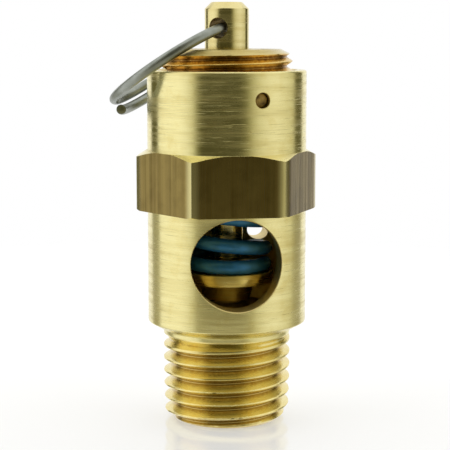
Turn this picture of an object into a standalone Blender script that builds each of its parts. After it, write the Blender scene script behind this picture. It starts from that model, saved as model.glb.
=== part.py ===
"""Pressure relief valve with a pull ring: a 1/4-18 NPT inlet, a 17 mm hexagon and a side discharge port.

The valve stands on its inlet end, the origin is the centre of that end, +Z runs up the stem, and the
discharge port faces -Y, with a small bleed hole through the wall behind it. Dimensions are in millimetres,
and MM turns them into Blender's metres.
"""

import math

import bmesh
import bpy
from mathutils import Matrix, Vector

MM = 0.001
MERGE = 0.002

# Body, from the inlet end upwards
BODY_RADIUS = 8.45
HEX_ACROSS_FLATS = 17.0
INLET_END_RADIUS = 5.61
THREAD_END = 9.3
COLLAR_RADIUS = 6.8
COLLAR_TOP = 9.8
CONE_TOP = 10.7
HEX_BOTTOM = 22.64
HEX_TOP = 28.97
HEX_BOTTOM_EDGE = 9.45
HEX_TOP_EDGE = 8.6
BODY_TOP = 37.44
EDGE_CHAMFER = 0.25

# Passage through the body
INLET_BORE = 3.5
ORIFICE = 1.4
SEAT_LIP = 1.75
SEAT_TOP = 12.6
CHAMBER_FLOOR = 11.9
CHAMBER_BORE = 6.0
CHAMBER_TOP = 32.3
SCREW_BORE = 7.15
PORT_RADIUS = 4.75
PORT_HEIGHT = 17.7
BLEED_RADIUS = 1.0
BLEED_HEIGHT = 19.63
BLEED_ASIDE = 4.03

# Adjusting screw, M14 x 1
SCREW_BOTTOM = 33.0
SCREW_TOP = 39.62
SCREW_TOP_EDGE = 5.75
SCREW_FOOT_EDGE = 6.1
STEM_HOLE = 2.55
SPANNER_HOLE = 0.75
SPANNER_CIRCLE = 4.15
SPANNER_DEPTH = 2.0
SPANNER_TURN = 60

# Lock pin, driven through the body into the adjusting screw
PIN_TURN = 17.4
PIN_HEIGHT = 34.55
PIN_RADIUS = 0.72
PIN_INNER_END = 6.25
PIN_OUTER_END = 8.05
PIN_HOLE = 0.8
PIN_SOCKET = 0.95
PIN_SOCKET_END = 5.9

# Poppet and seat disc
FLANGE_RADIUS = 4.98
FLANGE_BOTTOM = 14.9
FLANGE_TOP = 16.1
NOSE_BOTTOM = 13.0
NOSE_RADIUS = 2.45
NOSE_TOP_RADIUS = 3.05
HUB_RADIUS = 2.6
HUB_TOP = 17.25
HUB_BORE = 1.35
POCKET_RADIUS = 2.0
POCKET_TOP = 14.85
DISC_RADIUS = 1.85
DISC_BOTTOM = 12.9
DISC_TOP = 13.7

# Spring, wound left-handed with closed ends, and the washer above it
WIRE_RADIUS = 0.755
COIL_RADIUS = 4.12
SPRING_BOTTOM = 16.42
SPRING_TOP = 31.58
SPRING_PITCH = 2.88
CLOSED_TURNS = 0.86
FIRST_COIL_TURN = 0.2
WASHER_BOTTOM = 31.9
WASHER_TOP = 32.7
WASHER_RADIUS = 5.4
WASHER_HOLE = 2.0

# Stem, and the clip that couples it to the poppet
STEM_RADIUS = 2.33
STEM_TOP = 44.52
STEM_TOP_FLAT = 1.63
STEM_SHOULDER = 33.4
SHANK_RADIUS = 1.7
NECK_TOP = 17.55
NECK_RADIUS = 1.1
STEM_FOOT = 13.9
GROOVE_BOTTOM = 14.05
GROOVE_TOP = 14.7
GROOVE_RADIUS = 0.7
CLIP_BOTTOM = 14.2
CLIP_TOP = 14.55
CLIP_RADIUS = 1.7
CLIP_BORE = 0.86
CLIP_OPENING = 80
CROSS_HOLE = 1.03
CROSS_HEIGHT = 41.8
CROSS_TURN = -33.2

# Pull ring, a split ring of a little over one turn, hanging from the cross hole and resting on the screw's rim
RING_RADIUS = 7.37
RING_WIRE = 0.53
RING_PITCH = 1.3
RING_TURN = -31.8
RING_DROOP = 34.2
RING_LEAN = -6.5
RING_CENTRE = (7.12, 0.4, 0.085)
RING_BACKWARD = -206
RING_FORWARD = 244

# Threads: (pitch, height of the crest at +X, crest radius, depth, taper per side)
INLET_THREAD = (1.4111, 0.2436, 6.66, 1.1, 1 / 32)
SCREW_THREAD = (1.0, 0.393, 6.95, 0.6, 0)
CREST_HALF = 0.06
ROOT_HALF = 0.09

BODY_SIDES = 36
SCREW_SIDES = 32
ROUND_SIDES = 32
SMALL_SIDES = 20
WIRE_SIDES = 8


def facing(turn):
    """The horizontal direction a number of degrees round from the front, -Y, towards +X."""
    angle = math.radians(turn)
    return Vector((math.sin(angle), -math.cos(angle), 0))


def material(name, color, roughness, metallic):
    made = bpy.data.materials.new(name)
    made.use_nodes = True
    shader = made.node_tree.nodes["Principled BSDF"]
    shader.inputs["Base Color"].default_value = (*color, 1)
    shader.inputs["Roughness"].default_value = roughness
    shader.inputs["Metallic"].default_value = metallic
    return made


def part(name, shape, finish, origin=(0, 0, 0)):
    """A named object from a bmesh in the valve's own frame, with its origin at a point on its own axis."""
    bmesh.ops.remove_doubles(shape, verts=shape.verts, dist=MERGE * MM)
    bmesh.ops.translate(shape, verts=shape.verts, vec=-Vector(origin) * MM)
    mesh = bpy.data.meshes.new(name)
    shape.to_mesh(mesh)
    shape.free()
    mesh.shade_smooth()
    mesh.set_sharp_from_angle(angle=math.radians(32))
    made = bpy.data.objects.new(name, mesh)
    made.location = Vector(origin) * MM
    if finish:
        made.data.materials.append(finish)
    bpy.context.scene.collection.objects.link(made)
    return made


def turned(outline_at, sides):
    """A turned bmesh: outline_at(turn) is its closed (radius, height) loop at that share of a turn, running
    up the outside and down the inside."""
    shape = bmesh.new()
    columns = []
    for side in range(sides + 1):
        turn = side / sides
        angle = 2 * math.pi * turn
        columns.append(
            [
                shape.verts.new((r * math.cos(angle) * MM, r * math.sin(angle) * MM, z * MM))
                for r, z in outline_at(turn)
            ]
        )
    count = len(columns[0])
    for left, right in zip(columns, columns[1:]):
        for low in range(count):
            high = (low + 1) % count
            shape.faces.new((left[low], right[low], right[high], left[high]))
    return shape


def wire(points, radius, sides):
    """A closed round wire along a list of points, capped at both ends."""
    shape = bmesh.new()
    rings = []
    across = None
    for index, point in enumerate(points):
        ahead = points[min(index + 1, len(points) - 1)]
        behind = points[max(index - 1, 0)]
        along = (ahead - behind).normalized()
        across = along.orthogonal() if across is None else across
        across = (across - along * across.dot(along)).normalized()
        up = along.cross(across)
        ring = []
        for side in range(sides):
            angle = 2 * math.pi * side / sides
            offset = across * math.cos(angle) + up * math.sin(angle)
            ring.append(shape.verts.new((point + offset * radius) * MM))
        rings.append(ring)
    for back, front in zip(rings, rings[1:]):
        for side in range(sides):
            after = (side + 1) % sides
            shape.faces.new((back[side], back[after], front[after], front[side]))
    shape.faces.new(rings[0][::-1])
    shape.faces.new(rings[-1])
    return shape


def thread_radius(turn, height, thread):
    pitch, start, crest, depth, taper = thread
    phase = (height - start) / pitch - turn
    away = abs(phase - round(phase))
    share = (away - CREST_HALF) / (0.5 - CREST_HALF - ROOT_HALF)
    return crest + taper * height - depth * min(max(share, 0), 1)


def thread_heights(turn, low, high, thread):
    """Heights of a thread's crest and root edges at one share of a turn, kept between low and high."""
    pitch, start = thread[:2]
    heights = []
    for lap in range(math.floor((low - start) / pitch) - 2, math.ceil((high - start) / pitch) + 1):
        for phase in (-CREST_HALF, CREST_HALF, 0.5 - ROOT_HALF, 0.5 + ROOT_HALF):
            height = start + pitch * (lap + turn + phase)
            near = 0.04 * pitch
            height = low if height < low + near else height
            heights.append(high if height > high - near else height)
    return heights


def hex_radius(turn):
    """Distance from the axis to the hexagon's flats at a share of a turn from +X, with flats facing +-Y."""
    from_flat = (turn * 360) % 60 - 30
    return HEX_ACROSS_FLATS / 2 / math.cos(math.radians(from_flat))


def body_outline(turn):
    slope = math.tan(math.radians(30))
    hexagon = hex_radius(turn)
    runout = THREAD_END - 0.9
    root = INLET_THREAD[2] - INLET_THREAD[3] + THREAD_END / 32
    outline = [(INLET_BORE + 0.4, 0)]
    for height in thread_heights(turn, 0, THREAD_END, INLET_THREAD):
        radius = max(thread_radius(turn, height, INLET_THREAD), root + (height - runout))
        outline.append((min(radius, INLET_END_RADIUS + 1.2 * height, COLLAR_RADIUS), height))
    outline += [
        (COLLAR_RADIUS, THREAD_END + 0.15),
        (COLLAR_RADIUS, COLLAR_TOP),
        (BODY_RADIUS, CONE_TOP),
        (BODY_RADIUS, HEX_BOTTOM),
        (min(hexagon, HEX_BOTTOM_EDGE), HEX_BOTTOM),
        (hexagon, HEX_BOTTOM + max(hexagon - HEX_BOTTOM_EDGE, 0) * slope),
        (hexagon, HEX_TOP - max(hexagon - HEX_TOP_EDGE, 0) * slope),
        (min(hexagon, HEX_TOP_EDGE), HEX_TOP),
        (BODY_RADIUS, HEX_TOP),
        (BODY_RADIUS, BODY_TOP - EDGE_CHAMFER),
        (BODY_RADIUS - EDGE_CHAMFER, BODY_TOP),
        (SCREW_BORE + EDGE_CHAMFER, BODY_TOP),
        (SCREW_BORE, BODY_TOP - EDGE_CHAMFER),
        (SCREW_BORE, CHAMBER_TOP),
        (CHAMBER_BORE, CHAMBER_TOP),
        (CHAMBER_BORE, CHAMBER_FLOOR),
        (SEAT_LIP + 1.0, CHAMBER_FLOOR),
        (SEAT_LIP, SEAT_TOP),
        (ORIFICE, SEAT_TOP),
        (ORIFICE, CHAMBER_FLOOR - 1.2),
        (INLET_BORE, CHAMBER_FLOOR - 2.6),
        (INLET_BORE, 0.4),
    ]
    return outline


def screw_outline(turn):
    outline = [(STEM_HOLE + EDGE_CHAMFER, SCREW_BOTTOM)]
    for height in thread_heights(turn, SCREW_BOTTOM, SCREW_TOP, SCREW_THREAD):
        radius = min(
            thread_radius(turn, height, SCREW_THREAD),
            SCREW_TOP_EDGE + 2 * (SCREW_TOP - height),
            SCREW_FOOT_EDGE + height - SCREW_BOTTOM,
        )
        outline.append((radius, height))
    outline += [
        (STEM_HOLE + EDGE_CHAMFER, SCREW_TOP),
        (STEM_HOLE, SCREW_TOP - EDGE_CHAMFER),
        (STEM_HOLE, SCREW_BOTTOM + EDGE_CHAMFER),
    ]
    return outline


def plain(*outline):
    """An outline that is the same all the way round."""
    return lambda turn: list(outline)


def rod(middle, along, radius, length, sides=ROUND_SIDES):
    """A solid rod through a point, as a bmesh."""
    shape = bmesh.new()
    place = Matrix.Translation(Vector(middle) * MM) @ Vector(along).to_track_quat("Z", "Y").to_matrix().to_4x4()
    bmesh.ops.create_cone(
        shape,
        cap_ends=True,
        segments=sides,
        radius1=radius * MM,
        radius2=radius * MM,
        depth=length * MM,
        matrix=place,
    )
    return shape


def cut(target, name, shape):
    """Takes a closed bmesh out of a part, with a Boolean that stays on it."""
    cutter = part(name, shape, None)
    cutter.hide_render = True
    cutter.display_type = "WIRE"
    made = target.modifiers.new(name, "BOOLEAN")
    made.operation = "DIFFERENCE"
    made.object = cutter


def make_body(brass):
    body = part("valve_body", turned(body_outline, BODY_SIDES), brass)
    port = rod((0, -BODY_RADIUS, PORT_HEIGHT), facing(0), PORT_RADIUS, 2 * BODY_RADIUS - 2)
    cut(body, "port_cutter", port)
    bleed = rod((BLEED_ASIDE, BODY_RADIUS, BLEED_HEIGHT), facing(180), BLEED_RADIUS, 2 * CHAMBER_BORE, SMALL_SIDES)
    cut(body, "bleed_hole_cutter", bleed)
    out = facing(PIN_TURN)
    middle = out * (SCREW_BORE + BODY_RADIUS) / 2 + Vector((0, 0, PIN_HEIGHT))
    cut(body, "pin_hole_cutter", rod(middle, out, PIN_HOLE, 3, SMALL_SIDES))


def make_adjusting_screw(brass):
    screw = part("adjusting_screw", turned(screw_outline, SCREW_SIDES), brass)
    out = facing(PIN_TURN)
    middle = out * (PIN_SOCKET_END + 2) + Vector((0, 0, PIN_HEIGHT))
    cut(screw, "pin_socket_cutter", rod(middle, out, PIN_SOCKET, 4, SMALL_SIDES))
    for side in (0, 180):
        place = facing(SPANNER_TURN + side) * SPANNER_CIRCLE + Vector((0, 0, SCREW_TOP))
        cutter = rod(place, (0, 0, 1), SPANNER_HOLE, 2 * SPANNER_DEPTH, SMALL_SIDES)
        cut(screw, f"spanner_hole_cutter_{side}", cutter)


def make_lock_pin(brass):
    out = facing(PIN_TURN)
    middle = out * (PIN_INNER_END + PIN_OUTER_END) / 2 + Vector((0, 0, PIN_HEIGHT))
    pin = rod(middle, out, PIN_RADIUS, PIN_OUTER_END - PIN_INNER_END, SMALL_SIDES)
    part("lock_pin", pin, brass, middle)


def make_spring_washer(steel):
    outline = plain(
        (WASHER_HOLE, WASHER_BOTTOM),
        (WASHER_RADIUS, WASHER_BOTTOM),
        (WASHER_RADIUS, WASHER_TOP),
        (WASHER_HOLE, WASHER_TOP),
    )
    part("spring_washer", turned(outline, ROUND_SIDES), steel)


def coil_rise(turn, turns):
    """Height of the spring's wire above its first point: the pitch grows from nothing over each closed end."""

    def run_in(share):
        """Integral of a smoothstep, which is the rise over a closed end for a unit pitch."""
        share = min(share, 1)
        return CLOSED_TURNS * (share**3 - share**4 / 2)

    start = run_in(turn / CLOSED_TURNS) + max(turn - CLOSED_TURNS, 0)
    left = turns - turn
    end = max(CLOSED_TURNS - left, 0)
    lost = end - (CLOSED_TURNS / 2 - run_in(left / CLOSED_TURNS)) if end else 0
    return SPRING_PITCH * (start - lost)


def make_spring(paint):
    height = SPRING_TOP - SPRING_BOTTOM - 2 * WIRE_RADIUS
    turns = height / SPRING_PITCH + CLOSED_TURNS
    steps = round(turns * 18)
    points = []
    for step in range(steps + 1):
        turn = turns * step / steps
        place = facing(-360 * (turn - FIRST_COIL_TURN)) * COIL_RADIUS
        points.append(place + Vector((0, 0, SPRING_BOTTOM + WIRE_RADIUS + coil_rise(turn, turns))))
    part("spring", wire(points, WIRE_RADIUS, WIRE_SIDES), paint)


def make_poppet(brass):
    outline = plain(
        (POCKET_RADIUS, NOSE_BOTTOM),
        (NOSE_RADIUS, NOSE_BOTTOM),
        (NOSE_TOP_RADIUS, FLANGE_BOTTOM),
        (FLANGE_RADIUS, FLANGE_BOTTOM),
        (FLANGE_RADIUS, FLANGE_TOP),
        (HUB_RADIUS, FLANGE_TOP),
        (HUB_RADIUS, HUB_TOP),
        (HUB_BORE, HUB_TOP),
        (HUB_BORE, POCKET_TOP),
        (POCKET_RADIUS, POCKET_TOP),
    )
    part("poppet", turned(outline, ROUND_SIDES), brass)


def make_seat_disc(rubber):
    outline = plain((0, DISC_BOTTOM), (DISC_RADIUS, DISC_BOTTOM), (DISC_RADIUS, DISC_TOP), (0, DISC_TOP))
    part("seat_disc", turned(outline, ROUND_SIDES), rubber)


def make_stem(brass):
    outline = plain(
        (0, STEM_FOOT),
        (NECK_RADIUS, STEM_FOOT),
        (NECK_RADIUS, GROOVE_BOTTOM),
        (GROOVE_RADIUS, GROOVE_BOTTOM),
        (GROOVE_RADIUS, GROOVE_TOP),
        (NECK_RADIUS, GROOVE_TOP),
        (NECK_RADIUS, NECK_TOP),
        (SHANK_RADIUS, NECK_TOP),
        (SHANK_RADIUS, STEM_SHOULDER),
        (STEM_RADIUS, STEM_SHOULDER),
        (STEM_RADIUS, STEM_TOP - (STEM_RADIUS - STEM_TOP_FLAT)),
        (STEM_TOP_FLAT, STEM_TOP),
        (0, STEM_TOP),
    )
    stem = part("stem", turned(outline, ROUND_SIDES), brass)
    hole = rod((0, 0, CROSS_HEIGHT), facing(CROSS_TURN), CROSS_HOLE, 3 * STEM_RADIUS, SMALL_SIDES)
    cut(stem, "cross_hole_cutter", hole)


def make_stem_clip(steel):
    """A C-shaped retaining ring in the groove at the stem's foot."""
    shape = bmesh.new()
    sections = []
    steps = 18
    for step in range(steps + 1):
        out = facing(CLIP_OPENING / 2 + (360 - CLIP_OPENING) * step / steps)
        corners = (
            (CLIP_BORE, CLIP_BOTTOM),
            (CLIP_RADIUS, CLIP_BOTTOM),
            (CLIP_RADIUS, CLIP_TOP),
            (CLIP_BORE, CLIP_TOP),
        )
        sections.append([shape.verts.new((out * r + Vector((0, 0, z))) * MM) for r, z in corners])
    for left, right in zip(sections, sections[1:]):
        for low in range(4):
            high = (low + 1) % 4
            shape.faces.new((left[low], right[low], right[high], left[high]))
    shape.faces.new(sections[0])
    shape.faces.new(sections[-1][::-1])
    part("stem_clip", shape, steel)


def ring_frame():
    """The ring's own directions: down its middle, forward along the wire in the hole, and across its plane."""
    droop = math.radians(RING_DROOP)
    down = facing(RING_TURN - 90) * math.cos(droop) - Vector((0, 0, math.sin(droop)))
    lean = Matrix.Rotation(math.radians(RING_LEAN), 3, down)
    front = lean @ facing(RING_TURN)
    return down, front, down.cross(front)


def make_pull_ring(steel):
    hole = Vector((0, 0, CROSS_HEIGHT))
    down, front, across = ring_frame()
    centre = hole + down * RING_CENTRE[0] + front * RING_CENTRE[1] + across * RING_CENTRE[2]
    points = []
    for degrees in range(RING_BACKWARD, RING_FORWARD + 1, 10):
        angle = math.radians(degrees)
        round_ring = front * math.sin(angle) - down * math.cos(angle)
        points.append(centre + round_ring * RING_RADIUS + across * RING_PITCH * degrees / 360)
    part("pull_ring", wire(points, RING_WIRE, WIRE_SIDES), steel, hole)


for old in list(bpy.data.objects):
    bpy.data.objects.remove(old)

body_brass = material("body_brass", (0.80, 0.67, 0.30), 0.28, 1)
screw_brass = material("screw_brass", (0.78, 0.52, 0.20), 0.3, 1)
stem_brass = material("stem_brass", (0.78, 0.66, 0.32), 0.22, 1)
poppet_brass = material("poppet_brass", (0.80, 0.62, 0.22), 0.22, 1)
plated_steel = material("plated_steel", (0.62, 0.62, 0.60), 0.3, 1)
ring_steel = material("ring_steel", (0.55, 0.56, 0.55), 0.3, 1)
blue_paint = material("blue_paint", (0.02, 0.11, 0.22), 0.25, 0)
seat_rubber = material("seat_rubber", (0.05, 0.05, 0.05), 0.7, 0)

make_body(body_brass)
make_adjusting_screw(screw_brass)
make_lock_pin(body_brass)
make_spring_washer(plated_steel)
make_spring(blue_paint)
make_poppet(poppet_brass)
make_seat_disc(seat_rubber)
make_stem(stem_brass)
make_stem_clip(plated_steel)
make_pull_ring(ring_steel)
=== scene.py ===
"""Looks of the pressure relief valve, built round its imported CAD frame.

Every piece here stands for one CAD node. Sizes are in millimetres and turns in degrees, and MM turns
millimetres into metres. An outline is a list of (radius, height) points.
"""

import math

import bmesh
import bpy
from mathutils import Matrix, Vector, noise


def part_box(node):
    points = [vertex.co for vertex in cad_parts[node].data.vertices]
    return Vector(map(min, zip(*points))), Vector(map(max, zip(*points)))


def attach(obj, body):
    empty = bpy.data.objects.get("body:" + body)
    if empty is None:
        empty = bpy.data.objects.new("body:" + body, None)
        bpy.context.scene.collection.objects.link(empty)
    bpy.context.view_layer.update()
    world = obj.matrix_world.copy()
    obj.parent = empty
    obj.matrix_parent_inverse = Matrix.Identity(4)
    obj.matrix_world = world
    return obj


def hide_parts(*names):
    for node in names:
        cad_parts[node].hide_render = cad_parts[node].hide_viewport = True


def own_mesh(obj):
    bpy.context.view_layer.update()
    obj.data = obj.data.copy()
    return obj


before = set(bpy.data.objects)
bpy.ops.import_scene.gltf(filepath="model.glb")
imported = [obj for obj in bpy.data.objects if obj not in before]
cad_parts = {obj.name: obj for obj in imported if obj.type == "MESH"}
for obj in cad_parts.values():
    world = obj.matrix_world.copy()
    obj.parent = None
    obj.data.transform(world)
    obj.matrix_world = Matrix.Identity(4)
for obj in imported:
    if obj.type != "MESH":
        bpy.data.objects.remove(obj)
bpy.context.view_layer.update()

MM = 0.001
MERGE = 0.0015
SHARP = 30

# How finely each piece is meshed
BODY_COLUMNS = 288
SCREW_COLUMNS = 216
ROUND_COLUMNS = 128
SMALL_COLUMNS = 96
PIN_COLUMNS = 48
CORNER_STEPS = 3
PORT_SIDES = 160
CROSS_HOLE_SIDES = 64
HOLE_SIDES = 48
COIL_STEPS = 54
COIL_SIDES = 28
RING_STEP = 3
RING_SIDES = 36
CLIP_STEPS = 48


def top_of(node):
    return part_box(node)[1][2] / MM


def bottom_of(node):
    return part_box(node)[0][2] / MM


def radius_of(node):
    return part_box(node)[1][0] / MM


# The body. Its main sizes are the CAD's, and the burrs, the flats' fall and the broken edges are finer shape
BODY_RADIUS = 8.45
HEX_ACROSS_FLATS = (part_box("valve_body")[1][1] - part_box("valve_body")[0][1]) / MM
HEX_FLAT_HALF = 3.6
HEX_FALL = 0.08
INLET_END_RADIUS = 5.61
INLET_END_SLOPE = 1.2
INLET_CHAMFER = 0.4
THREAD_END = 9.3
THREAD_RUNOUT = 0.9
THREAD_BURR = 0.09
BURR_DEPTH = 0.15
COLLAR_RADIUS = 6.8
COLLAR_TOP = 9.8
CONE_TOP = 10.7
HEX_BOTTOM = 22.64
HEX_TOP = 28.97
HEX_BOTTOM_EDGE = 9.45
HEX_TOP_EDGE = 8.6
HEX_SLOPE = math.tan(math.radians(30))
BODY_TOP = top_of("valve_body")
BODY_TOP_CHAMFER = 0.15
BODY_TOP_BURR = 0.05
BODY_TOP_BURR_AT = 40
EDGE_CHAMFER = 0.25
INLET_BORE = 3.5
INLET_BORE_TOP = 9.3
ORIFICE = 1.4
ORIFICE_BOTTOM = 10.7
SEAT_FOOT = 2.75
SEAT_LIP = 1.75
SEAT_TOP = 12.6
CHAMBER_FLOOR = 11.9
CHAMBER_BORE = 6.0
CHAMBER_TOP = 32.3
SCREW_BORE = 7.15
PORT_RADIUS = 4.75
PORT_HEIGHT = 17.7
BLEED_RADIUS = 1.0
BLEED_HEIGHT = 19.63
BLEED_ASIDE = 4.03
PORT_EDGE = 0.1
PORT_INNER_END = 1.0

# The adjusting screw and the pin that locks it
SCREW_BOTTOM = bottom_of("adjusting_screw")
SCREW_TOP = top_of("adjusting_screw")
SCREW_TOP_EDGE = 5.75
SCREW_TOP_SLOPE = 2
SCREW_FOOT_EDGE = 6.1
STEM_HOLE = 2.55
SPANNER_HOLE = 0.75
SPANNER_CIRCLE = 4.15
SPANNER_DEPTH = 2.0
SPANNER_TURN = 60
PIN_TURN = 17.4
PIN_HEIGHT = sum(edge[2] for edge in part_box("lock_pin")) / 2 / MM
PIN_RADIUS = 0.72
PIN_INNER_END = 6.25
PIN_OUTER_END = 8.05
PIN_DOME = 0.08
PIN_DOME_RADIUS = PIN_RADIUS * 0.7
PIN_HOLE = 0.8
PIN_HOLE_EDGE = 0.05
PIN_HOLE_END = 6.55
PIN_SOCKET = 0.95
PIN_SOCKET_END = 5.9
PIN_SOCKET_LENGTH = 4.0

# The poppet
FLANGE_RADIUS = radius_of("poppet")
FLANGE_BOTTOM = 14.9
FLANGE_TOP = 16.1
NOSE_BOTTOM = bottom_of("poppet")
NOSE_RADIUS = 2.45
NOSE_TOP_RADIUS = 3.05
HUB_RADIUS = 2.6
HUB_TOP = top_of("poppet")
HUB_BORE = 1.35
POCKET_RADIUS = 2.0
POCKET_TOP = 14.85

# The spring, and the washer over it. CLOSED_TURNS and FIRST_COIL_TURN count whole turns of the coil
WIRE_RADIUS = 0.755
COIL_RADIUS = 4.12
SPRING_BOTTOM = FLANGE_TOP + 0.01
SPRING_TOP = top_of("spring")
SPRING_PITCH = 2.94
CLOSED_TURNS = 0.86
FIRST_COIL_TURN = 0.2
WASHER_BORE = 2.0

# The stem and its clip
STEM_RADIUS = 2.33
STEM_TOP = top_of("stem")
STEM_TOP_FLAT = 1.63
STEM_SHOULDER = 33.4
SHANK_RADIUS = 1.7
NECK_TOP = 17.55
NECK_RADIUS = 1.1
STEM_FOOT = bottom_of("stem")
GROOVE_BOTTOM = 14.05
GROOVE_TOP = 14.7
GROOVE_RADIUS = 0.7
CLIP_RADIUS = 1.7
CLIP_BORE = 0.86
CLIP_OPENING = 80
CROSS_HOLE = 1.03
CROSS_HOLE_EDGE = 0.07
CROSS_HEIGHT = 41.8
CROSS_TURN = -33.2

# The pull ring. Its centre is (down the ring, out of its front, across) from the cross hole
RING_RADIUS = 7.37
RING_WIRE = 0.53
RING_PITCH = 1.3
RING_TURN = -31.8
RING_DROOP = 34.2
RING_LEAN = -6.5
RING_CENTRE = (7.12, 0.4, 0.085)
RING_BACKWARD = -206
RING_FORWARD = 244

# Threads: (pitch, height of the crest at +X, crest radius, depth, taper per side)
INLET_THREAD = (1.4111, 0.2436, 6.66, 1.1, 1 / 32)
SCREW_THREAD = (1.0, 0.393, 6.95, 0.6, 0)
ROUNDING = 0.35

# Shares of a thread's pitch: half its round crest, half its round root, how near an end a row moves onto it,
# and the places of its rows from the crest
CREST_ROUND = 0.09
ROOT_ROUND = 0.12
THREAD_NEAR_END = 0.02
THREAD_PHASES = (-0.42, -0.34, -0.2, -0.1, -0.06, -0.025, 0.025, 0.06, 0.1, 0.2, 0.34, 0.42, 0.47, 0.53)

PALE_BRASS = (0.86, 0.78, 0.38)
DEEP_BRASS = (0.74, 0.62, 0.24)
# The hexagon's colour turns paler towards its corners, between these distances from the axis.
PALER_CORNER_FROM = 9.3
PALER_CORNER_FULL = 9.65

# The light tent's sides: (degrees round from its front, level). Its dim ones lose some green and blue
TENT_SIDES = (
    (-180, 1.0),
    (-141, 1.0),
    (-137, 0.12),
    (-119, 0.12),
    (-114, 1.05),
    (-96, 1.1),
    (-72, 1.1),
    (-60, 0.95),
    (-50, 0.72),
    (-42, 0.2),
    (-36, 0.07),
    (18, 0.07),
    (27, 0.16),
    (36, 0.45),
    (46, 0.72),
    (60, 0.88),
    (76, 0.94),
    (92, 0.84),
    (110, 0.7),
    (117, 0.12),
    (136, 0.12),
    (140, 1.0),
    (180, 1.0),
)
TENT_WARMTH = (0.0, 0.06, 0.6)
TENT_TURN = -8.2
FLOOR_SIZE = 260
FLOOR_FADE_CENTRE = (0, 35, 0)
FLOOR_FADE_FROM = 58
FLOOR_FADE_TO = 100

CAMERA_TURN = TENT_TURN
CAMERA_PITCH = 7.785
CAMERA_DISTANCE = 153.0
CAMERA_HEIGHT = 41.78
CAMERA_ASIDE = 0.19
CAMERA_LENS = 115.09


def facing(turn):
    """The horizontal direction a number of degrees round from the front, -Y, towards +X."""
    angle = math.radians(turn)
    return Vector((math.sin(angle), -math.cos(angle), 0))


# Node graphs


class Graph:
    """A short way to write a node tree. A value may be a number, a tuple or another node's output."""

    def __init__(self, tree):
        self.tree = tree

    def node(self, kind, inputs=None, **settings):
        made = self.tree.nodes.new(kind)
        for name, value in settings.items():
            setattr(made, name, value)
        for name, value in (inputs or {}).items():
            self.feed(made.inputs[name], value)
        return made

    def feed(self, socket, value):
        if isinstance(value, bpy.types.NodeSocket):
            self.tree.links.new(value, socket)
        elif value is not None:
            socket.default_value = value

    def math(self, operation, first, second=None, third=None, clamp=False):
        made = self.node("ShaderNodeMath", operation=operation, use_clamp=clamp)
        for socket, value in zip(made.inputs, (first, second, third)):
            self.feed(socket, value)
        return made.outputs[0]

    def spread(self, value, low, high, out_low=0.0, out_high=1.0, smooth=False):
        made = self.node("ShaderNodeMapRange", interpolation_type="SMOOTHSTEP" if smooth else "LINEAR")
        for name, number in (
            ("Value", value),
            ("From Min", low),
            ("From Max", high),
            ("To Min", out_low),
            ("To Max", out_high),
        ):
            self.feed(made.inputs[name], number)
        return made.outputs[0]

    def mix(self, share, first, second, blend="MIX"):
        made = self.node("ShaderNodeMix", data_type="RGBA", blend_type=blend)
        for socket, value in zip((made.inputs[0], made.inputs[6], made.inputs[7]), (share, first, second)):
            self.feed(socket, (*value, 1) if isinstance(value, tuple) and len(value) == 3 else value)
        return made.outputs[2]

    def noise(self, vector, scale, detail, rough):
        inputs = {"Vector": vector, "Scale": scale, "Detail": detail, "Roughness": rough}
        return self.node("ShaderNodeTexNoise", inputs).outputs["Fac"]

    def vector(self, x, y, z):
        made = self.node("ShaderNodeCombineXYZ")
        for socket, value in zip(made.inputs, (x, y, z)):
            self.feed(socket, value)
        return made.outputs[0]

    def dot(self, vector, direction):
        made = self.node("ShaderNodeVectorMath", {0: vector, 1: tuple(direction)}, operation="DOT_PRODUCT")
        return made.outputs["Value"]

    def bump(self, height, distance, below=None):
        """A raise of a distance in metres, on top of the bump below it."""
        inputs = {"Height": height, "Distance": distance, "Strength": 1.0, "Normal": below}
        return self.node("ShaderNodeBump", inputs).outputs[0]


class Place(Graph):
    """A surface material's graph, with the position in millimetres, the radius from the axis and the shader.

    The keywords are the shader's own inputs.
    """

    def __init__(self, name, **shader):
        self.material = bpy.data.materials.new(name)
        self.material.use_nodes = True
        super().__init__(self.material.node_tree)
        self.shader = self.tree.nodes["Principled BSDF"]
        for socket, value in shader.items():
            self.shader.inputs[socket.replace("_", " ")].default_value = value
        where = self.node("ShaderNodeTexCoord").outputs["Object"]
        scaled = self.node("ShaderNodeVectorMath", {0: where}, operation="SCALE")
        scaled.inputs["Scale"].default_value = 1 / MM
        self.mm = scaled.outputs[0]
        apart = self.node("ShaderNodeSeparateXYZ", {0: self.mm})
        self.x, self.y, self.z = apart.outputs
        squares = [self.math("MULTIPLY", value, value) for value in (self.x, self.y)]
        self.radius = self.math("SQRT", self.math("ADD", *squares))

    def color(self, value):
        self.feed(self.shader.inputs["Base Color"], value)

    def rough(self, value):
        self.feed(self.shader.inputs["Roughness"], value)

    def normal(self, value):
        self.feed(self.shader.inputs["Normal"], value)

    def stretched(self, height, across_scale, height_scale, detail, rough):
        where = self.vector(
            self.math("MULTIPLY", self.x, across_scale),
            self.math("MULTIPLY", self.y, across_scale),
            self.math("MULTIPLY", height, height_scale),
        )
        return self.noise(where, 1.0, detail, rough)

    def lathe(self, round_scale, line_scale, detail, rough):
        """Noise drawn out round the axis: lines on a turned side, and rings on a faced end."""
        return self.stretched(self.math("ADD", self.z, self.radius), round_scale, line_scale, detail, rough)

    def streaks(self, across_scale, along_scale, detail, rough):
        """Noise drawn out along the axis, as on a drawn bar."""
        return self.stretched(self.z, across_scale, along_scale, detail, rough)


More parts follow.
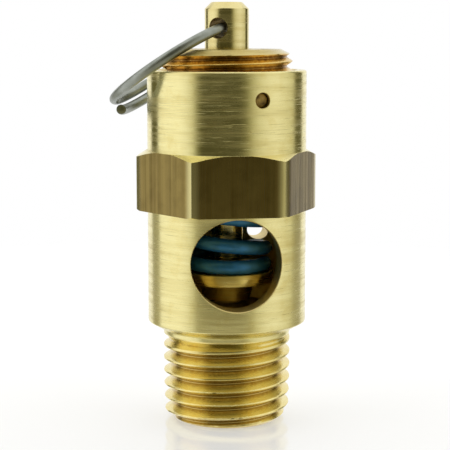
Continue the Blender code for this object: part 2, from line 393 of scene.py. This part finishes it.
def turned_brass(name, pale, deep, line_depth=0.000004, roughness=0.24):
    """Brass straight off the lathe: fine lines round the axis, a few deeper scratches, and faint stains."""
    made = Place(name, Metallic=1.0, Anisotropic=0.75, Anisotropic_Rotation=0.25)
    tangent = made.node("ShaderNodeTangent", direction_type="RADIAL", axis="Z").outputs[0]
    made.feed(made.shader.inputs["Tangent"], tangent)
    fine = made.lathe(0.05, 9.0, 4.0, 0.7)
    wide = made.lathe(0.12, 1.7, 3.0, 0.55)
    stain = made.noise(made.mm, 0.55, 4.0, 0.6)
    scratch = made.spread(made.lathe(0.22, 16.0, 2.0, 0.5), 0.66, 0.74)
    by_line = made.spread(wide, 0.35, 0.7, 0.0, 0.55)
    by_stain = made.spread(stain, 0.5, 0.72, 0.0, 0.5)
    tone = made.mix(made.math("ADD", by_line, by_stain, clamp=True), pale, deep)
    scratched = tuple(channel * 0.45 for channel in deep)
    made.color(made.mix(made.math("MULTIPLY", scratch, 0.4), tone, scratched))
    dull = made.spread(wide, 0.36, 0.64, roughness * 0.65, roughness * 1.4)
    made.rough(made.math("ADD", dull, made.spread(fine, 0.3, 0.7, -0.04, 0.06)))
    lines = made.bump(fine, line_depth)
    waves = made.bump(wide, line_depth * 2.5, lines)
    made.normal(made.bump(made.math("MULTIPLY", scratch, -1.0), line_depth * 2.0, waves))
    return made.material


def drawn_brass(name, pale, deep):
    """The hexagon's drawn flats: streaks along the bar, a dark tone with stains, and a paler colour towards
    the corners.
    """
    made = Place(name, Metallic=1.0)
    fine = made.streaks(1.7, 0.02, 3.0, 0.55)
    wide = made.streaks(0.9, 0.05, 2.0, 0.5)
    stain = made.noise(made.mm, 0.35, 4.0, 0.6)
    by_streak = made.spread(fine, 0.4, 0.7, 0.0, 0.6)
    by_stain = made.spread(stain, 0.45, 0.7, 0.0, 0.4)
    flat_tone = made.mix(made.math("ADD", by_streak, by_stain, clamp=True), pale, deep)
    toward_corner = made.spread(made.radius, PALER_CORNER_FROM, PALER_CORNER_FULL, 0.0, 0.6, smooth=True)
    made.color(made.mix(toward_corner, flat_tone, PALE_BRASS))
    made.rough(made.spread(fine, 0.3, 0.7, 0.2, 0.32))
    made.normal(made.bump(wide, 0.00003, made.bump(fine, 0.000004)))
    return made.material


def thread_brass(name, pale, deep, root, thread):
    """Brass with a cut thread: stained crests, and a darker, redder root colour painted in as shade in the
    hollows.
    """
    crest, depth, taper = thread[2:]
    line_depth = 0.000003
    made = Place(name, Metallic=1.0)
    below = made.math("SUBTRACT", made.math("MULTIPLY_ADD", made.z, taper, crest), made.radius)
    fine = made.lathe(0.08, 11.0, 4.0, 0.7)
    stain = made.noise(made.mm, 0.9, 4.0, 0.65)
    chatter = made.noise(made.mm, 3.2, 3.0, 0.6)
    tone = made.mix(made.spread(stain, 0.4, 0.7, 0.0, 0.8), pale, deep)
    # Painted shade: the colour turns towards the root colour with depth below the crest, made uneven by the
    # chatter noise.
    root_shade = made.math("ADD", below, made.spread(chatter, 0.3, 0.7, -0.12, 0.12))
    made.color(made.mix(made.spread(root_shade, depth * 0.55, depth, 0.0, 0.85, smooth=True), tone, root))
    made.rough(made.spread(fine, 0.3, 0.7, 0.176, 0.308))
    made.normal(made.bump(chatter, line_depth * 3.0, made.bump(fine, line_depth)))
    return made.material


def bored_brass(name, pale, deep, stain_scale=0.8, depth=0.000006):
    """A drilled or bored wall, duller than the turned outside."""
    made = Place(name, Metallic=1.0)
    stain = made.noise(made.mm, stain_scale, 4.0, 0.6)
    fine = made.noise(made.mm, 6.0, 3.0, 0.6)
    made.color(made.mix(made.spread(stain, 0.35, 0.7), pale, deep))
    made.rough(made.spread(fine, 0.3, 0.7, 0.34, 0.5))
    made.normal(made.bump(fine, depth))
    return made.material


def steel(name, pale, deep, roughness=0.32):
    """Plain steel, with faint stains and a fine grain."""
    made = Place(name, Metallic=1.0)
    fine = made.noise(made.mm, 7.0, 4.0, 0.65)
    wide = made.noise(made.mm, 0.7, 3.0, 0.6)
    made.color(made.mix(made.spread(wide, 0.35, 0.7), pale, deep))
    made.rough(made.spread(fine, 0.3, 0.7, roughness * 0.85, roughness * 1.2))
    made.normal(made.bump(fine, 0.000005))
    return made.material


def painted(name, pale, deep):
    """A thin satin paint with a metallic look, uneven in tone."""
    made = Place(name, Metallic=0.5, Coat_Weight=0.3, Coat_Roughness=0.3)
    wide = made.noise(made.mm, 0.9, 4.0, 0.6)
    fine = made.noise(made.mm, 8.0, 3.0, 0.6)
    made.color(made.mix(made.spread(wide, 0.35, 0.68), pale, deep))
    made.rough(made.spread(fine, 0.3, 0.7, 0.38, 0.5))
    made.normal(made.bump(fine, 0.000005))
    return made.material


def rubber(name):
    """Dull black rubber."""
    made = Place(name)
    fine = made.noise(made.mm, 9.0, 3.0, 0.6)
    made.color(made.mix(made.spread(fine, 0.3, 0.7), (0.02, 0.02, 0.02), (0.05, 0.048, 0.045)))
    made.rough(made.spread(fine, 0.3, 0.7, 0.55, 0.75))
    made.normal(made.bump(fine, 0.00001))
    return made.material


# Shapes


def soften(outline):
    """Rounds the corners of a closed outline of (radius, height, corner radius, finish) points.

    A corner takes less than half of either side. One that lies on its neighbour is given as many points, but
    isn't rounded.
    """
    made = []
    count = len(outline)
    for index, (r, z, corner, finish) in enumerate(outline):
        if not corner:
            made.append((r, z, finish))
            continue
        here = Vector((r, z))
        back = Vector(outline[index - 1][:2]) - here
        ahead = Vector(outline[(index + 1) % count][:2]) - here
        if min(back.length, ahead.length) < 1e-6:
            made += [(r, z, finish)] * (CORNER_STEPS + 1)
            continue
        reach = min(corner, 0.45 * back.length, 0.45 * ahead.length)
        start = here + back.normalized() * reach
        end = here + ahead.normalized() * reach
        for step in range(CORNER_STEPS + 1):
            share = step / CORNER_STEPS
            point = start.lerp(here, share).lerp(here.lerp(end, share), share)
            made.append((point.x, point.y, finish))
    return made


def mesh_object(name, shape, materials):
    """An object made of a bmesh, with its double points merged and its sharp edges kept."""
    bmesh.ops.remove_doubles(shape, verts=shape.verts, dist=MERGE * MM)
    bmesh.ops.dissolve_degenerate(shape, edges=shape.edges, dist=MERGE * MM / 2)
    mesh = bpy.data.meshes.new(name)
    shape.to_mesh(mesh)
    shape.free()
    for material in materials:
        mesh.materials.append(material)
    mesh.shade_smooth()
    mesh.set_sharp_from_angle(angle=math.radians(SHARP))
    made = bpy.data.objects.new(name, mesh)
    bpy.context.scene.collection.objects.link(made)
    return made


def turned(outline_at, columns):
    """A turned bmesh from the closed outline at each share of a turn, up the outside and down the inside.

    The last column lies on the first, where a thread has moved up by one pitch. Their points merge later.
    """
    shape = bmesh.new()
    sides = []
    for column in range(columns + 1):
        turn = column / columns
        outline = soften(outline_at(turn))
        x = math.cos(2 * math.pi * (turn % 1)) * MM
        y = math.sin(2 * math.pi * (turn % 1)) * MM
        sides.append([shape.verts.new((r * x, r * y, z * MM)) for r, z, _ in outline])
    finishes = [finish for _, _, finish in outline]
    count = len(outline)
    for left, right in zip(sides, sides[1:]):
        for low in range(count):
            high = (low + 1) % count
            face = shape.faces.new((left[low], right[low], right[high], left[high]))
            face.material_index = finishes[low]
    return shape


def wire(points, radius, sides, end_round=0.12):
    """A round wire along a list of points, with slightly broken edges at both cut ends.

    A spot is (point, shift along the wire, radius). The caps take the second finish.
    """
    shape = bmesh.new()
    rings = []
    across = None
    last = len(points) - 1
    corner = end_round * 0.3
    ending = [(0.0, radius - end_round), (corner, radius - corner), (end_round, radius)]
    spots = [(0, shift, wide) for shift, wide in ending]
    spots += [(index, 0.0, radius) for index in range(1, last)]
    spots += [(last, -shift, wide) for shift, wide in reversed(ending)]
    for index, shift, wide in spots:
        along = (points[min(index + 1, last)] - points[max(index - 1, 0)]).normalized()
        across = along.orthogonal() if across is None else across
        across = (across - along * across.dot(along)).normalized()
        up = along.cross(across)
        ring = []
        for side in range(sides):
            angle = 2 * math.pi * side / sides
            offset = (across * math.cos(angle) + up * math.sin(angle)) * wide
            ring.append(shape.verts.new((points[index] + along * shift + offset) * MM))
        rings.append(ring)
    for back, front in zip(rings, rings[1:]):
        for side in range(sides):
            after = (side + 1) % sides
            shape.faces.new((back[side], back[after], front[after], front[side]))
    for ring in (rings[0][::-1], rings[-1]):
        cap = shape.faces.new(ring)
        cap.material_index = 1
    return shape


def saddle_cutter(turn, height, hole, surface, edge, sides, start=None):
    """A closed cutter for a hole facing a turn, at a height, through a round surface centred on Z.

    It widens just outside the surface, so that it also breaks the hole's edge along its saddle. It starts at
    a distance from the axis, or runs right through to the other side's saddle.
    """
    shape = bmesh.new()
    along = facing(turn)
    across = Vector((-along.y, along.x, 0))
    centre = Vector((0, 0, height))
    grow = 0.5
    clear = surface + 2 * grow
    wide = hole + grow + edge
    rows = []
    for side in range(sides):
        angle = 2 * math.pi * side / sides
        depth = math.sqrt(surface**2 - (math.cos(angle) * hole) ** 2)
        out = across * math.cos(angle) + Vector((0, 0, math.sin(angle)))
        steps = [(clear, wide), (depth + grow, wide), (depth - edge, hole)]
        far_side = [(-reach, r) for reach, r in reversed(steps)]
        steps += far_side if start is None else [(start, hole)]
        rows.append([shape.verts.new((centre + along * reach + out * r) * MM) for reach, r in steps])
    for index, row in enumerate(rows):
        after = rows[(index + 1) % sides]
        for low in range(len(row) - 1):
            shape.faces.new((row[low], after[low], after[low + 1], row[low + 1]))
    shape.faces.new([row[0] for row in rows][::-1])
    shape.faces.new([row[-1] for row in rows])
    bmesh.ops.recalc_face_normals(shape, faces=shape.faces)
    return shape


def laid(middle, along):
    """The matrix that takes an upright shape to a middle and lays it along a direction."""
    turn = Vector(along).to_track_quat("Z", "Y").to_matrix().to_4x4()
    return Matrix.Translation(Vector(middle) * MM) @ turn


def rod(middle, along, radius, length):
    """A round closed cutter."""
    shape = bmesh.new()
    bmesh.ops.create_cone(
        shape,
        cap_ends=True,
        segments=HOLE_SIDES,
        radius1=radius * MM,
        radius2=radius * MM,
        depth=length * MM,
        matrix=laid(middle, along),
    )
    return shape


def cut(target, shape, finish):
    """Takes a closed bmesh out of a piece for good. The new walls get the finish."""
    cutter = mesh_object("cutter", shape, [finish])
    made = target.modifiers.new("cut", "BOOLEAN")
    made.operation = "DIFFERENCE"
    made.object = cutter
    made.material_mode = "TRANSFER"
    graph = bpy.context.evaluated_depsgraph_get()
    mesh = bpy.data.meshes.new_from_object(target.evaluated_get(graph))
    target.modifiers.clear()
    old = target.data
    target.data = mesh
    bpy.data.meshes.remove(old)
    spare = cutter.data
    bpy.data.objects.remove(cutter)
    bpy.data.meshes.remove(spare)
    mesh.name = target.name
    mesh.shade_smooth()
    mesh.set_sharp_from_angle(angle=math.radians(SHARP))


def thread_depth(phase):
    """How deep a thread is at a share of its pitch from the crest, as a share of its whole depth."""
    away = abs(phase - round(phase))
    flank = 0.5 - CREST_ROUND - ROOT_ROUND
    start = ROUNDING * CREST_ROUND / flank
    end = 1 - ROUNDING * ROOT_ROUND / flank
    if away < CREST_ROUND:
        return start * (away / CREST_ROUND) ** 2
    if away > 0.5 - ROOT_ROUND:
        return 1 - (1 - end) * ((0.5 - away) / ROOT_ROUND) ** 2
    return start + (end - start) * (away - CREST_ROUND) / flank


def thread_rows(turn, low, high, thread):
    """(height, radius) rows of a thread at one share of a turn, kept between low and high."""
    pitch, start, crest, depth, taper = thread
    near = THREAD_NEAR_END * pitch
    first = math.floor((low - start) / pitch) - 2
    last = math.ceil((high - start) / pitch)
    rows = []
    for lap in range(first, last + 1):
        for phase in THREAD_PHASES:
            height = start + pitch * (lap + turn + phase)
            height = low if height < low + near else height
            height = high if height > high - near else height
            at = (height - start) / pitch - turn
            rows.append((height, crest + taper * height - depth * thread_depth(at)))
    return rows


def hex_radius(turn):
    """Distance from the axis to the hexagon at a share of a turn from +X.

    Each flat falls away near its corners.
    """
    from_flat = math.radians((turn * 360) % 60 - 30)
    flat = HEX_ACROSS_FLATS / 2
    past = max(flat * math.tan(abs(from_flat)) - HEX_FLAT_HALF, 0)
    return (flat - HEX_FALL * past**2) / math.cos(from_flat)


# The finishes of the body, and those of the screw, in the order in which each gets them
TURNED, DRAWN, THREADED, BORED = range(4)
SCREW_THREADED, SCREW_FACED, SCREW_BORED = range(3)


def burr(angle, height, size):
    """A small uneven raise along a cut edge, read from the noise at an angle and a height."""
    where = Vector((3 * math.cos(angle), 3 * math.sin(angle), height * 1.7))
    return size * max(noise.noise(where * 1.9) + 0.5 * noise.noise(where * 5.3) - 0.25, 0)


def body_outline(turn):
    """The body, with a burr on its thread's crests and top edge. The thread runs out at the collar."""
    hexagon = hex_radius(turn)
    crest_at_end, depth, taper = INLET_THREAD[2:]
    runout = THREAD_END - THREAD_RUNOUT
    root = crest_at_end - depth + THREAD_END * taper
    angle = 2 * math.pi * turn
    outline = [(INLET_BORE + INLET_CHAMFER, 0, 0, THREADED)]
    for height, radius in thread_rows(turn, 0, THREAD_END, INLET_THREAD):
        crest = crest_at_end + height * taper
        near_crest = max(1 - (crest - radius) / BURR_DEPTH, 0)
        radius += near_crest * burr(angle, height, THREAD_BURR)
        radius = max(radius, root + height - runout)
        radius = min(radius, INLET_END_RADIUS + INLET_END_SLOPE * height, COLLAR_RADIUS)
        outline.append((radius, height, 0, THREADED))
    top_burr = burr(angle, BODY_TOP_BURR_AT, BODY_TOP_BURR)
    outline += [
        (COLLAR_RADIUS, THREAD_END + 0.15, 0.05, TURNED),
        (COLLAR_RADIUS, COLLAR_TOP, 0.04, TURNED),
        (BODY_RADIUS, CONE_TOP, 0.12, TURNED),
        (BODY_RADIUS, HEX_BOTTOM, 0.08, TURNED),
        (min(hexagon, HEX_BOTTOM_EDGE), HEX_BOTTOM, 0, TURNED),
        (hexagon, HEX_BOTTOM + max(hexagon - HEX_BOTTOM_EDGE, 0) * HEX_SLOPE, 0, DRAWN),
        (hexagon, HEX_TOP - max(hexagon - HEX_TOP_EDGE, 0) * HEX_SLOPE, 0, TURNED),
        (min(hexagon, HEX_TOP_EDGE), HEX_TOP, 0, TURNED),
        (BODY_RADIUS, HEX_TOP, 0.06, TURNED),
        (BODY_RADIUS + top_burr, BODY_TOP - BODY_TOP_CHAMFER, 0.08, TURNED),
        (BODY_RADIUS - BODY_TOP_CHAMFER, BODY_TOP, 0.06, TURNED),
        (SCREW_BORE + EDGE_CHAMFER, BODY_TOP, 0.05, BORED),
        (SCREW_BORE, BODY_TOP - EDGE_CHAMFER, 0, BORED),
        (SCREW_BORE, CHAMBER_TOP, 0, BORED),
        (CHAMBER_BORE, CHAMBER_TOP, 0.1, BORED),
        (CHAMBER_BORE, CHAMBER_FLOOR, 0.3, BORED),
        (SEAT_FOOT, CHAMBER_FLOOR, 0.1, BORED),
        (SEAT_LIP, SEAT_TOP, 0.08, BORED),
        (ORIFICE, SEAT_TOP, 0.08, BORED),
        (ORIFICE, ORIFICE_BOTTOM, 0, BORED),
        (INLET_BORE, INLET_BORE_TOP, 0, BORED),
        (INLET_BORE, INLET_CHAMFER, 0.05, BORED),
    ]
    return outline


def screw_outline(turn):
    """The screw, with a steep chamfer at the top of its thread and a 45 degree one at its foot."""
    outline = [(STEM_HOLE + EDGE_CHAMFER, SCREW_BOTTOM, 0.04, SCREW_FACED)]
    for height, radius in thread_rows(turn, SCREW_BOTTOM, SCREW_TOP, SCREW_THREAD):
        radius = min(
            radius,
            SCREW_TOP_EDGE + SCREW_TOP_SLOPE * (SCREW_TOP - height),
            SCREW_FOOT_EDGE + height - SCREW_BOTTOM,
        )
        outline.append((radius, height, 0, SCREW_THREADED))
    outline[-1] = (*outline[-1][:3], SCREW_FACED)
    outline += [
        (STEM_HOLE + EDGE_CHAMFER, SCREW_TOP, 0.05, SCREW_FACED),
        (STEM_HOLE, SCREW_TOP - EDGE_CHAMFER, 0.05, SCREW_FACED),
        (STEM_HOLE, SCREW_BOTTOM + EDGE_CHAMFER, 0.05, SCREW_FACED),
    ]
    return outline


def plain(corner, *outline):
    """An outline that is the same all the way round, with one corner radius away from the axis."""
    points = [(r, z, corner if r else 0, 0) for r, z in outline]
    return lambda turn: points


def make_body(finishes):
    body = mesh_object("body", turned(body_outline, BODY_COLUMNS), finishes)
    port = saddle_cutter(0, PORT_HEIGHT, PORT_RADIUS, BODY_RADIUS, PORT_EDGE, PORT_SIDES, PORT_INNER_END)
    cut(body, port, finishes[BORED])
    bleed = rod((BLEED_ASIDE, BODY_RADIUS, BLEED_HEIGHT), facing(180), BLEED_RADIUS, 2 * CHAMBER_BORE)
    cut(body, bleed, finishes[BORED])
    pin_hole = saddle_cutter(
        PIN_TURN, PIN_HEIGHT, PIN_HOLE, BODY_RADIUS, PIN_HOLE_EDGE, HOLE_SIDES, PIN_HOLE_END
    )
    cut(body, pin_hole, finishes[BORED])
    return body


def make_screw(finishes):
    """The screw, with its chamfer faced, the pin's socket in its side and two spanner holes in its top."""
    screw = mesh_object("threaded_screw", turned(screw_outline, SCREW_COLUMNS), finishes[:SCREW_BORED])
    for face in screw.data.polygons:
        drop = SCREW_TOP - face.center.z / MM
        edge = face.center.xy.length / MM - SCREW_TOP_SLOPE * drop
        if edge > SCREW_TOP_EDGE - 0.03:
            face.material_index = SCREW_FACED
    out = facing(PIN_TURN)
    socket = out * (PIN_SOCKET_END + PIN_SOCKET_LENGTH / 2) + Vector((0, 0, PIN_HEIGHT))
    cut(screw, rod(socket, out, PIN_SOCKET, PIN_SOCKET_LENGTH), finishes[SCREW_BORED])
    for side in (0, 180):
        place = facing(SPANNER_TURN + side) * SPANNER_CIRCLE + Vector((0, 0, SCREW_TOP))
        cut(screw, rod(place, (0, 0, 1), SPANNER_HOLE, 2 * SPANNER_DEPTH), finishes[SCREW_BORED])
    return screw


def make_pin(finish):
    """The pin, turned upright and then laid along its hole. Its outer end is struck slightly domed."""
    out = facing(PIN_TURN)
    length = PIN_OUTER_END - PIN_INNER_END
    outline = plain(
        0.06,
        (0, 0),
        (PIN_RADIUS, 0),
        (PIN_RADIUS, length - PIN_DOME),
        (PIN_DOME_RADIUS, length),
        (0, length),
    )
    pin = mesh_object("struck_pin", turned(outline, PIN_COLUMNS), [finish])
    pin.data.transform(laid(out * PIN_INNER_END + Vector((0, 0, PIN_HEIGHT)), out))
    return pin


def coil_rise(turn, turns):
    """Height of the spring's wire above its first point.

    The pitch grows from nothing over each closed end.
    """

    def run_in(share):
        share = min(share, 1)
        return CLOSED_TURNS * (share**3 - share**4 / 2)

    start = run_in(turn / CLOSED_TURNS) + max(turn - CLOSED_TURNS, 0)
    left = turns - turn
    end = max(CLOSED_TURNS - left, 0)
    lost = end - (CLOSED_TURNS / 2 - run_in(left / CLOSED_TURNS)) if end else 0
    return SPRING_PITCH * (start - lost)


def make_spring(finish):
    height = SPRING_TOP - SPRING_BOTTOM - 2 * WIRE_RADIUS
    turns = height / SPRING_PITCH + CLOSED_TURNS
    steps = round(turns * COIL_STEPS)
    points = []
    for step in range(steps + 1):
        turn = turns * step / steps
        place = facing(-360 * (turn - FIRST_COIL_TURN)) * COIL_RADIUS
        points.append(place + Vector((0, 0, SPRING_BOTTOM + WIRE_RADIUS + coil_rise(turn, turns))))
    return mesh_object("coil", wire(points, WIRE_RADIUS, COIL_SIDES), [finish, finish])


def make_ring(finish, cut_end):
    """The split ring, a helix of one and a quarter turns. The cross hole is about half way along its wire."""
    droop = math.radians(RING_DROOP)
    down = facing(RING_TURN - 90) * math.cos(droop) - Vector((0, 0, math.sin(droop)))
    front = Matrix.Rotation(math.radians(RING_LEAN), 3, down) @ facing(RING_TURN)
    across = down.cross(front)
    hole = Vector((0, 0, CROSS_HEIGHT))
    centre = hole + down * RING_CENTRE[0] + front * RING_CENTRE[1] + across * RING_CENTRE[2]
    points = []
    for degrees in range(RING_BACKWARD, RING_FORWARD + 1, RING_STEP):
        angle = math.radians(degrees)
        round_ring = front * math.sin(angle) - down * math.cos(angle)
        points.append(centre + round_ring * RING_RADIUS + across * RING_PITCH * degrees / 360)
    return mesh_object("wire_ring", wire(points, RING_WIRE, RING_SIDES, 0.08), [finish, cut_end])


def make_stem(finish, bored):
    outline = plain(
        0.06,
        (0, STEM_FOOT),
        (NECK_RADIUS, STEM_FOOT),
        (NECK_RADIUS, GROOVE_BOTTOM),
        (GROOVE_RADIUS, GROOVE_BOTTOM),
        (GROOVE_RADIUS, GROOVE_TOP),
        (NECK_RADIUS, GROOVE_TOP),
        (NECK_RADIUS, NECK_TOP),
        (SHANK_RADIUS, NECK_TOP),
        (SHANK_RADIUS, STEM_SHOULDER),
        (STEM_RADIUS, STEM_SHOULDER),
        (STEM_RADIUS, STEM_TOP - (STEM_RADIUS - STEM_TOP_FLAT)),
        (STEM_TOP_FLAT, STEM_TOP),
        (0, STEM_TOP),
    )
    stem = mesh_object("turned_stem", turned(outline, ROUND_COLUMNS), [finish])
    hole = saddle_cutter(
        CROSS_TURN, CROSS_HEIGHT, CROSS_HOLE, STEM_RADIUS, CROSS_HOLE_EDGE, CROSS_HOLE_SIDES
    )
    cut(stem, hole, bored)
    return stem


def make_poppet(finish):
    outline = plain(
        0.08,
        (POCKET_RADIUS, NOSE_BOTTOM),
        (NOSE_RADIUS, NOSE_BOTTOM),
        (NOSE_TOP_RADIUS, FLANGE_BOTTOM),
        (FLANGE_RADIUS, FLANGE_BOTTOM),
        (FLANGE_RADIUS, FLANGE_TOP),
        (HUB_RADIUS, FLANGE_TOP),
        (HUB_RADIUS, HUB_TOP),
        (HUB_BORE, HUB_TOP),
        (HUB_BORE, POCKET_TOP),
        (POCKET_RADIUS, POCKET_TOP),
    )
    return mesh_object("turned_poppet", turned(outline, ROUND_COLUMNS), [finish])


def make_disc(finish):
    low, high, wide = bottom_of("seat_disc"), top_of("seat_disc"), radius_of("seat_disc")
    outline = plain(0.12, (0, low), (wide, low), (wide, high), (0, high))
    return mesh_object("sealing_disc", turned(outline, SMALL_COLUMNS), [finish])


def make_washer(finish):
    low, high, wide = bottom_of("spring_washer"), top_of("spring_washer"), radius_of("spring_washer")
    outline = plain(0.12, (WASHER_BORE, low), (wide, low), (wide, high), (WASHER_BORE, high))
    return mesh_object("pressed_washer", turned(outline, SMALL_COLUMNS), [finish])


def make_clip(finish):
    """A flat C, with its opening to the front."""
    low, high = bottom_of("stem_clip"), top_of("stem_clip")
    section = plain(0.06, (CLIP_BORE, low), (CLIP_RADIUS, low), (CLIP_RADIUS, high), (CLIP_BORE, high))
    loop = soften(section(0))
    shape = bmesh.new()
    sections = []
    for step in range(CLIP_STEPS + 1):
        out = facing(CLIP_OPENING / 2 + (360 - CLIP_OPENING) * step / CLIP_STEPS)
        sections.append([shape.verts.new((out * r + Vector((0, 0, z))) * MM) for r, z, _ in loop])
    for left, right in zip(sections, sections[1:]):
        for start in range(len(loop)):
            after = (start + 1) % len(loop)
            shape.faces.new((left[start], right[start], right[after], left[after]))
    shape.faces.new(sections[0])
    shape.faces.new(sections[-1][::-1])
    return mesh_object("spring_clip", shape, [finish])


def stand_for(piece, node, body):
    """Puts a piece in place of a CAD node, on its body."""
    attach(piece, body)
    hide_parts(node)


turned_finish = turned_brass("turned_body_brass", PALE_BRASS, DEEP_BRASS)
drawn_finish = drawn_brass("drawn_hexagon_brass", pale=(0.28, 0.205, 0.06), deep=(0.13, 0.09, 0.02))
# Its root colour is painted shade for the thread's hollows.
inlet_finish = thread_brass(
    "inlet_thread_brass",
    pale=(0.88, 0.76, 0.34),
    deep=(0.84, 0.66, 0.21),
    root=(0.50, 0.34, 0.09),
    thread=INLET_THREAD,
)
bored_finish = bored_brass("bored_brass", pale=(0.84, 0.70, 0.30), deep=(0.74, 0.58, 0.22))
# Painted shade: the cross hole's brass is made darker than the other drilled walls, for the shade inside the
# small hole.
hole_shade_finish = bored_brass("cross_hole_brass_painted_shade", pale=(0.50, 0.38, 0.15), deep=(0.30, 0.21, 0.07))
# Its root colour is painted shade for the thread's hollows, darker still on this screw.
screw_finish = thread_brass(
    "screw_thread_brass",
    pale=(0.82, 0.58, 0.18),
    deep=(0.68, 0.40, 0.09),
    root=(0.24, 0.11, 0.02),
    thread=SCREW_THREAD,
)
screw_face = turned_brass("faced_screw_brass", pale=(0.62, 0.51, 0.19), deep=(0.44, 0.32, 0.08))
# Painted shade: the pin's brass is made dark brown for the shade on its end, sunk deep in its hole.
pin_shade_finish = bored_brass(
    "pin_brass_painted_shade", pale=(0.40, 0.27, 0.08), deep=(0.10, 0.06, 0.02), stain_scale=1.6, depth=0.00006
)
stem_finish = turned_brass(
    "turned_stem_brass", pale=(0.80, 0.70, 0.34), deep=(0.68, 0.56, 0.22), line_depth=0.000003, roughness=0.2
)
poppet_finish = turned_brass(
    "turned_poppet_brass",
    pale=(0.94, 0.74, 0.24),
    deep=(0.88, 0.62, 0.15),
    line_depth=0.000003,
    roughness=0.36,
)
washer_finish = steel("washer_steel", pale=(0.60, 0.60, 0.58), deep=(0.45, 0.45, 0.43))
clip_finish = steel("clip_steel", pale=(0.50, 0.50, 0.48), deep=(0.36, 0.36, 0.35))
ring_finish = steel("ring_wire_steel", pale=(0.38, 0.40, 0.36), deep=(0.29, 0.31, 0.27), roughness=0.38)
ring_end_finish = steel("ring_end_steel", pale=(0.50, 0.50, 0.33), deep=(0.36, 0.36, 0.22), roughness=0.4)
paint_finish = painted("blue_wire_paint", pale=(0.03, 0.21, 0.46), deep=(0.025, 0.16, 0.30))
rubber_finish = rubber("disc_rubber")

body = make_body([turned_finish, drawn_finish, inlet_finish, bored_finish])
stand_for(body, "valve_body", "housing")
stand_for(make_screw([screw_finish, screw_face, bored_finish]), "adjusting_screw", "housing")
stand_for(make_pin(pin_shade_finish), "lock_pin", "housing")
stand_for(make_washer(washer_finish), "spring_washer", "housing")
spring = make_spring(paint_finish)
stand_for(spring, "spring", "housing")
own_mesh(spring)
stand_for(make_poppet(poppet_finish), "poppet", "disc")
stand_for(make_disc(rubber_finish), "seat_disc", "disc")
stand_for(make_stem(stem_finish, hole_shade_finish), "stem", "lift_stem")
stand_for(make_clip(clip_finish), "stem_clip", "lift_stem")
stand_for(make_ring(ring_finish, ring_end_finish), "pull_ring", "ring")


# Floor, light and camera


def make_floor():
    """A pale floor that fades out away from the valve, so that it has no edge.

    It is hidden from glossy rays, so that the brass reflects the tent's dark bands down to its foot.
    """
    shape = bmesh.new()
    bmesh.ops.create_grid(shape, x_segments=1, y_segments=1, size=FLOOR_SIZE * MM)
    floor = mesh_object("floor", shape, [])
    made = Place("pale_floor", Roughness=0.1, Emission_Color=(1.0, 1.0, 1.0, 1.0), Emission_Strength=0.4)
    grain = made.noise(made.mm, 0.02, 2.0, 0.5)
    made.color(made.mix(grain, (0.60, 0.60, 0.60), (0.63, 0.63, 0.63)))
    clear = made.node("ShaderNodeBsdfTransparent").outputs[0]
    away = made.node("ShaderNodeVectorMath", {0: made.mm, 1: FLOOR_FADE_CENTRE}, operation="DISTANCE")
    faded = made.spread(away.outputs["Value"], FLOOR_FADE_FROM, FLOOR_FADE_TO, smooth=True)
    fade = made.node("ShaderNodeMixShader", {0: faded, 1: made.shader.outputs[0], 2: clear})
    made.feed(made.tree.nodes["Material Output"].inputs[0], fade.outputs[0])
    floor.data.materials.append(made.material)
    floor.visible_glossy = False


def make_world():
    """A light tent: bright sides with dark gaps behind them, a dim front, a white back and a bright ceiling.

    The ceiling starts higher up over the front, and a weak warm light comes from below. The camera sees plain
    white.
    """
    world = bpy.data.worlds.new("light_tent")
    bpy.context.scene.world = world
    world.use_nodes = True
    made = Graph(world.node_tree)
    back = made.tree.nodes["Background"]
    way = made.node("ShaderNodeTexCoord").outputs["Generated"]
    ahead = made.dot(way, facing(TENT_TURN))
    right = made.dot(way, facing(TENT_TURN + 90))
    turn = made.math("ARCTAN2", right, ahead)
    share = made.math("MULTIPLY_ADD", turn, 1 / (2 * math.pi), 0.5)
    ramp = made.node("ShaderNodeValToRGB", {0: share})
    points = ramp.color_ramp.elements
    while len(points) < len(TENT_SIDES):
        points.new(0.5)
    for point, (degrees, level) in zip(points, TENT_SIDES):
        point.position = degrees / 360 + 0.5
        warm = tuple(level * (1 - loss * (1 - min(level, 1))) for loss in TENT_WARMTH)
        point.color = (*warm, 1)
    up = made.node("ShaderNodeSeparateXYZ", {0: way}).outputs[2]
    dim = made.math("MULTIPLY", made.spread(ahead, -0.1, 0.4, smooth=True), 0.35)
    ceiling = made.spread(made.math("SUBTRACT", up, dim), 0.5, 0.7, smooth=True)
    low = made.spread(up, -0.22, -0.1, 0.48, 0.0, smooth=True)
    fill = made.vector(low, made.math("MULTIPLY", low, 0.96), made.math("MULTIPLY", low, 0.75))
    sides = made.mix(1.0, ramp.outputs[0], fill, blend="LIGHTEN")
    light = made.mix(ceiling, sides, (1.1, 1.1, 1.08))
    seen = made.node("ShaderNodeLightPath").outputs["Is Camera Ray"]
    made.feed(back.inputs["Color"], made.mix(seen, light, (1.0, 1.0, 1.0)))
    back.inputs["Strength"].default_value = 1.0


def make_camera():
    data = bpy.data.cameras.new("camera")
    camera = bpy.data.objects.new("camera", data)
    bpy.context.scene.collection.objects.link(camera)
    out = facing(CAMERA_TURN)
    pitch = math.radians(CAMERA_PITCH)
    look = -out * math.cos(pitch) - Vector((0, 0, math.sin(pitch)))
    right = look.cross(Vector((0, 0, 1))).normalized()
    camera.location = (out * CAMERA_DISTANCE + Vector((0, 0, CAMERA_HEIGHT)) - right * CAMERA_ASIDE) * MM
    camera.rotation_euler = look.to_track_quat("-Z", "Y").to_euler()
    data.lens = CAMERA_LENS
    data.clip_start = 0.01
    data.clip_end = 10
    bpy.context.scene.camera = camera


make_floor()
make_world()
make_camera()
bpy.context.scene.view_settings.view_transform = "Standard"
